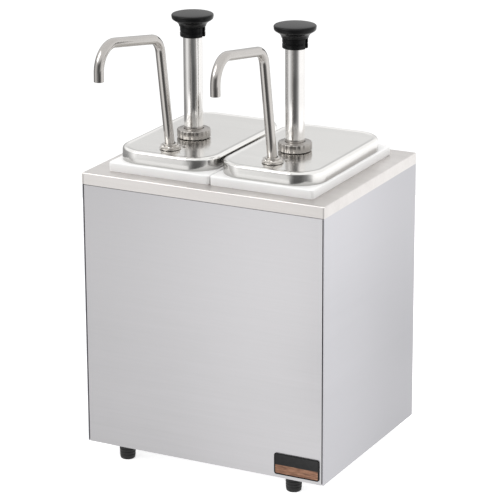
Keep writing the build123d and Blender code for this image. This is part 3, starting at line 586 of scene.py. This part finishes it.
def make_plunger(side):
    body = f"{side}_plunger"
    low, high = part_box(f"{side}_plunger_tube")
    at = Vector(((low.x + high.x) / 2, (low.y + high.y) / 2, 0))
    radius, tube_wall = (high.x - low.x) / 2, 0.0012
    bm = bmesh.new()
    inside = radius - tube_wall
    profile = softened([(inside, low.z), (radius, low.z), (radius, high.z), (inside, high.z)],
                       0.0002, steps=2)
    add_lathe(bm, at, profile, 80)
    piece(f"{side}_polished_plunger", bm, body, tube_steel, [f"{side}_plunger_tube"])

    # gauging collar: a C-shaped clip whose slot faces right
    low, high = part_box(f"{side}_gauging_collar")
    outer, bore, slot, groove = 0.0125, radius, 0.0052, 0.0005
    half = atan(slot / 2 / outer) + 0.01
    inner_half = atan(slot / 2 / bore)
    steps = 60

    def c_ring(r_out, r_in, z):
        points = [Vector((at.x + r_out * cos(a), at.y + r_out * sin(a), z)) for a in
                  (half + (2 * pi - 2 * half) * i / steps for i in range(steps + 1))]
        points += [Vector((at.x + r_in * cos(a), at.y + r_in * sin(a), z)) for a in
                   (2 * pi - inner_half - (2 * pi - 2 * inner_half) * i / steps for i in range(steps + 1))]
        return points

    bm = bmesh.new()
    rings = []
    for r_out, z in ((outer - 0.0009, low.z), (outer - 0.0003, low.z + 0.0003), (outer, low.z + 0.0009),
                     (outer, low.z + 0.0042), (outer - groove, low.z + 0.0047),
                     (outer - groove, low.z + 0.0054), (outer, low.z + 0.0059), (outer, high.z - 0.0004),
                     (outer - 0.0004, high.z)):
        rings.append(c_ring(r_out, bore + 0.00002, z))
    add_rings(bm, rings, close_rings=False, cap_first=True, cap_last=True)
    piece(f"{side}_slotted_clip", bm, body, black_plastic, [f"{side}_gauging_collar"])

    # knob: flared grip with a shallow crowned top and a moulding line under its rim
    low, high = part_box(f"{side}_knob")
    bottom, top, rim = low.z, high.z, (high.x - low.x) / 2
    socket, dome = 0.009, 0.0019
    rim_z = top - dome
    profile = [(0, bottom + socket), (radius, bottom + socket), (radius, bottom)]
    profile += [(0.0128, bottom), (0.0133, bottom + 0.0004), (0.0134, bottom + 0.0012),
                (0.0138, bottom + 0.0022), (0.0148, bottom + 0.0036), (0.0163, bottom + 0.0049),
                (0.0181, bottom + 0.0060), (0.0195, bottom + 0.0069), (0.0203, bottom + 0.0078),
                (rim - 0.0002, bottom + 0.0090), (rim, rim_z - 0.0009),
                (rim - 0.0002, rim_z - 0.0002), (rim - 0.0008, rim_z + 0.0004),
                (rim - 0.0018, rim_z + 0.0007),
                (rim * 0.80, rim_z + 0.0011), (rim * 0.55, rim_z + 0.0015), (rim * 0.28, rim_z + 0.0018),
                (0.0, rim_z + dome)]
    bm = bmesh.new()
    add_lathe(bm, at, profile, 96)
    piece(f"{side}_flared_knob", bm, body, black_plastic, [f"{side}_knob"], sharp=50)

    for node, material in (("piston", guide_plastic), ("piston_seal", black_rubber)):
        paint(f"{side}_{node}", material)


def spout_axes(side):
    """The place and direction of the leaning axis that the spout turns on."""
    joint = next(j for j in frame["joints"] if j["name"] == f"{side}_spout_turn")
    return Vector(joint["pos_m"]), Vector(joint["axis"]).normalized()


def make_spout(side):
    pivot, riser = spout_axes(side)
    outer, wall = 0.0047625, 0.0009
    riser_length, arm_length, tip_length = 0.1143, 0.1067, 0.0358
    bend_radii = [0, 0.019, 0.0235, 0]
    foot_depth = 0.168 - 0.009 - 0.0002     # below the lid, along the leaning axis
    splay = radians(-2.7 if side == "left" else 2.7)
    forward = Matrix.Rotation(splay, 3, riser) @ Vector((0, -riser.z, riser.y)).normalized()
    lean = atan(-riser.y / riser.z)
    rise = radians(9.0)
    arm = riser * sin(lean + rise) + forward * cos(lean + rise)
    down = forward * sin(lean) - riser * cos(lean)
    foot = pivot - riser * foot_depth
    elbow = pivot + riser * riser_length
    bend = elbow + arm * arm_length
    tip = bend + down * tip_length
    path = softened([foot, elbow, bend, tip], bend_radii, closed=False, steps=16, share=0.9)
    middle = [foot.lerp(path[1], t) for t in (0.002, 0.25, 0.5, 0.75, 0.98)]
    straight = [path[-2].lerp(tip, t) for t in (0.3, 0.9)]
    bm = bmesh.new()
    add_tube(bm, [foot] + middle + path[1:-1] + straight + [tip], outer, outer - wall, 32)
    piece(f"{side}_bent_spout", bm, f"{side}_spout", shaded_spout_steel,
          [f"{side}_discharge_tube"])
    make_fitting(side, pivot, outer)


def make_fitting(side, place, tube_radius):
    """Spout fitting: washer, hexagon with turned corners, low round collar and the barrel through the lid."""
    washer, washer_radius, barrel, barrel_length = 0.0010, 0.0105, 0.0075, 0.008
    flats, collar, top = 0.0184, 0.0072, 0.0052
    bm = bmesh.new()
    add_lathe(bm, place, softened([(0.0078, 0), (washer_radius, 0), (washer_radius, washer),
                                   (0.0078, washer)], 0.0003, steps=2), 56)
    hexagon = []
    for r, z in ((flats / 2 * 1.03, washer), (flats / sqrt(3), 0.0014), (flats / sqrt(3), 0.0030),
                 (flats / 2 * 1.02, 0.0035), (collar + 0.0002, 0.0036), (collar, 0.0037), (collar, 0.0049),
                 (collar - 0.0003, top)):
        ring = []
        for i in range(48):
            a = 2 * pi * i / 48
            local = (a + pi / 6) % (pi / 3) - pi / 6
            limit = flats / 2 / cos(local)
            reach = min(r, limit)
            turned = a + pi / 6
            ring.append((place.x + reach * cos(turned), place.y + reach * sin(turned), place.z + z))
        hexagon.append(ring)
    bore = tube_radius + 0.0006
    inner = [circle_ring(place, bore, z, 48) for z in (top, -barrel_length)]
    outside = [circle_ring(place, barrel, z, 48) for z in (-barrel_length, washer)]
    add_rings(bm, outside + hexagon + inner)
    piece(f"{side}_hex_fitting", bm, f"{side}_pump", fitting_steel,
          [f"{side}_spout_bushing"], sharp=25)


def circle_ring(place, radius, z, steps):
    return [(x, y, place.z + z) for x, y in circle_points(radius, steps, (place.x, place.y))]


def make_spring(side):
    """The CAD spring's own coil, copied as it is, in the fitting steel."""
    source = frame["nodes"][f"{side}_return_spring"]
    mesh = source.data.copy()
    spring = bpy.data.objects.new(f"{side}_coil_spring", mesh)
    scene.collection.objects.link(spring)
    mesh.materials.clear()
    mesh.materials.append(fitting_steel)
    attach(spring, f"{side}_pump")
    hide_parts(f"{side}_return_spring")
    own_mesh(spring)


for side in ("left", "right"):
    make_jar(side)
    make_lid(side)
    make_lock_collar(side)
    make_plunger(side)
    make_spout(side)
    make_spring(side)
    for node, material in (("neck_bush", guide_plastic), ("pump_cylinder", fitting_steel),
                           ("valve_body", valve_plastic), ("body_o_ring", black_rubber),
                           ("tube_o_ring", black_rubber), ("intake_cap", valve_plastic),
                           ("intake_ball", fitting_steel), ("outlet_ball", fitting_steel),
                           ("clamp_plate", inner_steel), ("clamp_nut", fitting_steel),
                           ("lid_pin", fitting_steel)):
        paint(f"{side}_{node}", material)


# ================================================================== studio
FLOOR_RADIUS = 0.9


def make_floor():
    """Pale paper floor that lies just under the feet."""
    bm = bmesh.new()
    bmesh.ops.create_circle(bm, cap_ends=True, segments=128, radius=FLOOR_RADIUS)
    mesh = bpy.data.meshes.new("studio_floor")
    bm.to_mesh(mesh)
    bm.free()
    floor = bpy.data.objects.new("studio_floor", mesh)
    scene.collection.objects.link(floor)
    material, nodes, links, shader = new_material("pale_floor")
    shader.inputs["Base Color"].default_value = (0.9, 0.9, 0.905, 1)
    shader.inputs["Roughness"].default_value = 0.9
    shader.inputs["Specular IOR Level"].default_value = 0.1
    shader.inputs["Emission Color"].default_value = (1, 1, 1, 1)
    shader.inputs["Emission Strength"].default_value = 0.62
    mesh.materials.append(material)


def bearing(nodes, links, vector):
    """Compass bearing of a direction as a share of a turn: 0.5 is the front (-Y), 0.75 the right (+X)."""
    split = nodes.new("ShaderNodeSeparateXYZ")
    links.new(vector, split.inputs["Vector"])
    flip = nodes.new("ShaderNodeMath")
    flip.operation = "MULTIPLY"
    flip.inputs[1].default_value = -1
    links.new(split.outputs["Y"], flip.inputs[0])
    angle = nodes.new("ShaderNodeMath")
    angle.operation = "ARCTAN2"
    links.new(split.outputs["X"], angle.inputs[0])
    links.new(flip.outputs[0], angle.inputs[1])
    share = nodes.new("ShaderNodeMapRange")
    share.inputs["From Min"].default_value = -pi
    share.inputs["From Max"].default_value = pi
    links.new(angle.outputs[0], share.inputs["Value"])
    return share.outputs["Result"], split.outputs["Z"]


def at_bearing(degrees):
    """A bearing in degrees as the share of a turn that the ramps use; 0 is the front."""
    return (degrees + 180) / 360


def make_world():
    """Soft studio: white to the camera, and to everything else bright, with dark gaps at the right front
    and at the left back."""
    world = bpy.data.worlds.new("studio")
    scene.world = world
    world.use_nodes = True
    nodes, links = world.node_tree.nodes, world.node_tree.links
    nodes.clear()
    place = nodes.new("ShaderNodeTexCoord")
    share, height = bearing(nodes, links, place.outputs["Generated"])
    stops = [(-180, 0.9), (-150, 0.42), (-110, 0.30), (-78, 0.38), (-60, 0.70), (-46, 1.0), (-30, 0.75),
             (-10, 0.40), (10, 0.16), (36, 0.14), (54, 0.28), (66, 0.62), (76, 1.05), (100, 1.2), (150, 1.12)]
    around = ramp(nodes, links, share, [(at_bearing(b), v) for b, v in stops])
    # white overhead; the dark gap at the front reaches higher up than the others
    low_start = ramp(nodes, links, height, [(0.0, 0.0), (0.12, 0.0), (0.42, 1.0)])
    high_start = ramp(nodes, links, height, [(0.0, 0.0), (0.32, 0.0), (0.60, 1.0)])
    gap = [(-60, 0.0), (-20, 1.0), (56, 1.0), (84, 0.0)]
    front = ramp(nodes, links, share, [(at_bearing(b), v) for b, v in gap])
    upward = mixed(nodes, links, front, low_start, high_start)
    light = mixed(nodes, links, upward, around, (1.0, 1.0, 1.0))
    seen = nodes.new("ShaderNodeBackground")
    seen.inputs["Color"].default_value = (1, 1, 1, 1)
    seen.inputs["Strength"].default_value = 1.1
    lit = nodes.new("ShaderNodeBackground")
    lit.inputs["Strength"].default_value = 1.15
    links.new(light, lit.inputs["Color"])
    path = nodes.new("ShaderNodeLightPath")
    choose = nodes.new("ShaderNodeMixShader")
    links.new(path.outputs["Is Camera Ray"], choose.inputs["Fac"])
    links.new(lit.outputs[0], choose.inputs[1])
    links.new(seen.outputs[0], choose.inputs[2])
    out = nodes.new("ShaderNodeOutputWorld")
    links.new(choose.outputs[0], out.inputs["Surface"])


def make_flag():
    """Dark curved screen low at the right front, seen only in reflections, as a photographer's flag."""
    radius, steps, bottom, top = 0.62, 40, 0.002, 0.34
    first, sweep = -2, 76     # degrees of bearing
    bm = bmesh.new()
    rows = []
    for z in (bottom, top):
        rows.append([bm.verts.new((radius * sin(a), -radius * cos(a), z)) for a in
                     (radians(first + sweep * i / steps) for i in range(steps + 1))])
    for i in range(steps):
        bm.faces.new((rows[0][i], rows[0][i + 1], rows[1][i + 1], rows[1][i]))
    mesh = bpy.data.meshes.new("dark_flag")
    bm.to_mesh(mesh)
    bm.free()
    flag = bpy.data.objects.new("dark_flag", mesh)
    scene.collection.objects.link(flag)
    material, nodes, links, shader = new_material("dark_flag")
    place = nodes.new("ShaderNodeTexCoord")
    share, _ = bearing(nodes, links, place.outputs["Object"])
    stops = [(-2, 0.5), (6, 0.25), (14, 0.12), (36, 0.12), (54, 0.28), (66, 0.62), (74, 1.0)]
    glow = nodes.new("ShaderNodeEmission")
    links.new(ramp(nodes, links, share, [(at_bearing(b), v) for b, v in stops]), glow.inputs["Color"])
    links.new(glow.outputs[0], nodes["Material Output"].inputs["Surface"])
    mesh.materials.append(material)
    flag.visible_camera = flag.visible_diffuse = flag.visible_shadow = False


def make_floor_card():
    """Card on the floor seen only in reflections: pale, brighter farther out, with a dark right front
    and a dim left that both start a little way off."""
    steps, radii, height = 120, (0.02, 1.3), 0.0015
    bm = bmesh.new()
    rows = [[bm.verts.new((r * sin(2 * pi * i / steps), -r * cos(2 * pi * i / steps), height))
             for i in range(steps)] for r in radii]
    join_loops(bm, rows[0], rows[1])
    mesh = bpy.data.meshes.new("floor_card")
    bm.to_mesh(mesh)
    bm.free()
    card = bpy.data.objects.new("floor_card", mesh)
    scene.collection.objects.link(card)
    material, nodes, links, shader = new_material("floor_card")
    place = nodes.new("ShaderNodeTexCoord")
    share, _ = bearing(nodes, links, place.outputs["Object"])
    length = nodes.new("ShaderNodeVectorMath")
    length.operation = "LENGTH"
    links.new(place.outputs["Object"], length.inputs[0])
    outward = ramp(nodes, links, length.outputs["Value"],
                   [(0.0, 1.0), (0.2, 1.08), (0.55, 1.25), (0.9, 1.55)])
    far = ramp(nodes, links, length.outputs["Value"], [(0.32, 0.0), (0.44, 1.0)])
    stops = [(-180, 0.8), (-130, 0.25), (-80, 0.2), (-55, 0.5), (-38, 0.95), (-10, 1.0), (6, 0.3),
             (20, 0.10), (40, 0.12), (55, 0.3), (72, 0.9), (120, 0.95), (180, 0.8)]
    around = ramp(nodes, links, share, [(at_bearing(b), v) for b, v in stops])
    glow = nodes.new("ShaderNodeEmission")
    around = mixed(nodes, links, far, (1.0, 1.0, 1.0), around)
    links.new(mixed(nodes, links, 1.0, around, outward, "MULTIPLY"), glow.inputs["Color"])
    links.new(glow.outputs[0], nodes["Material Output"].inputs["Surface"])
    mesh.materials.append(material)
    card.visible_camera = card.visible_diffuse = card.visible_shadow = False


def area_light(name, place, target, size, power):
    data = bpy.data.lights.new(name, "AREA")
    data.shape = "RECTANGLE"
    data.size, data.size_y = size
    data.energy = power
    lamp = bpy.data.objects.new(name, data)
    scene.collection.objects.link(lamp)
    lamp.location = place
    lamp.rotation_mode = "QUATERNION"
    lamp.rotation_quaternion = (Vector(target) - Vector(place)).to_track_quat("-Z", "Y")
    lamp.visible_camera = False
    return lamp


def make_camera():
    azimuth, elevation, roll = radians(27.319), radians(17.847), radians(-0.26)
    data = bpy.data.cameras.new("view")
    data.lens, data.sensor_width = 186.29, 36.0
    data.clip_start, data.clip_end = 0.1, 50
    camera = bpy.data.objects.new("view", data)
    scene.collection.objects.link(camera)
    back = Vector((sin(azimuth) * cos(elevation), -cos(azimuth) * cos(elevation), sin(elevation)))
    right = Vector((cos(azimuth), sin(azimuth), 0))
    up = back.cross(right)
    rolled_right = right * cos(roll) + up * sin(roll)
    rolled_up = up * cos(roll) - right * sin(roll)
    turn = Matrix((rolled_right, rolled_up, back)).transposed().to_4x4()
    turn.translation = Vector((1.1241, -2.1791, 0.9948))
    camera.matrix_world = turn
    scene.camera = camera


make_floor()
make_world()
make_flag()
make_floor_card()
area_light("key", (-1.2, -1.6, 2.2), (0, 0, 0.25), (1.6, 1.6), 22)
make_camera()
scene.view_settings.view_transform = "Standard"
scene.view_settings.look = "None"
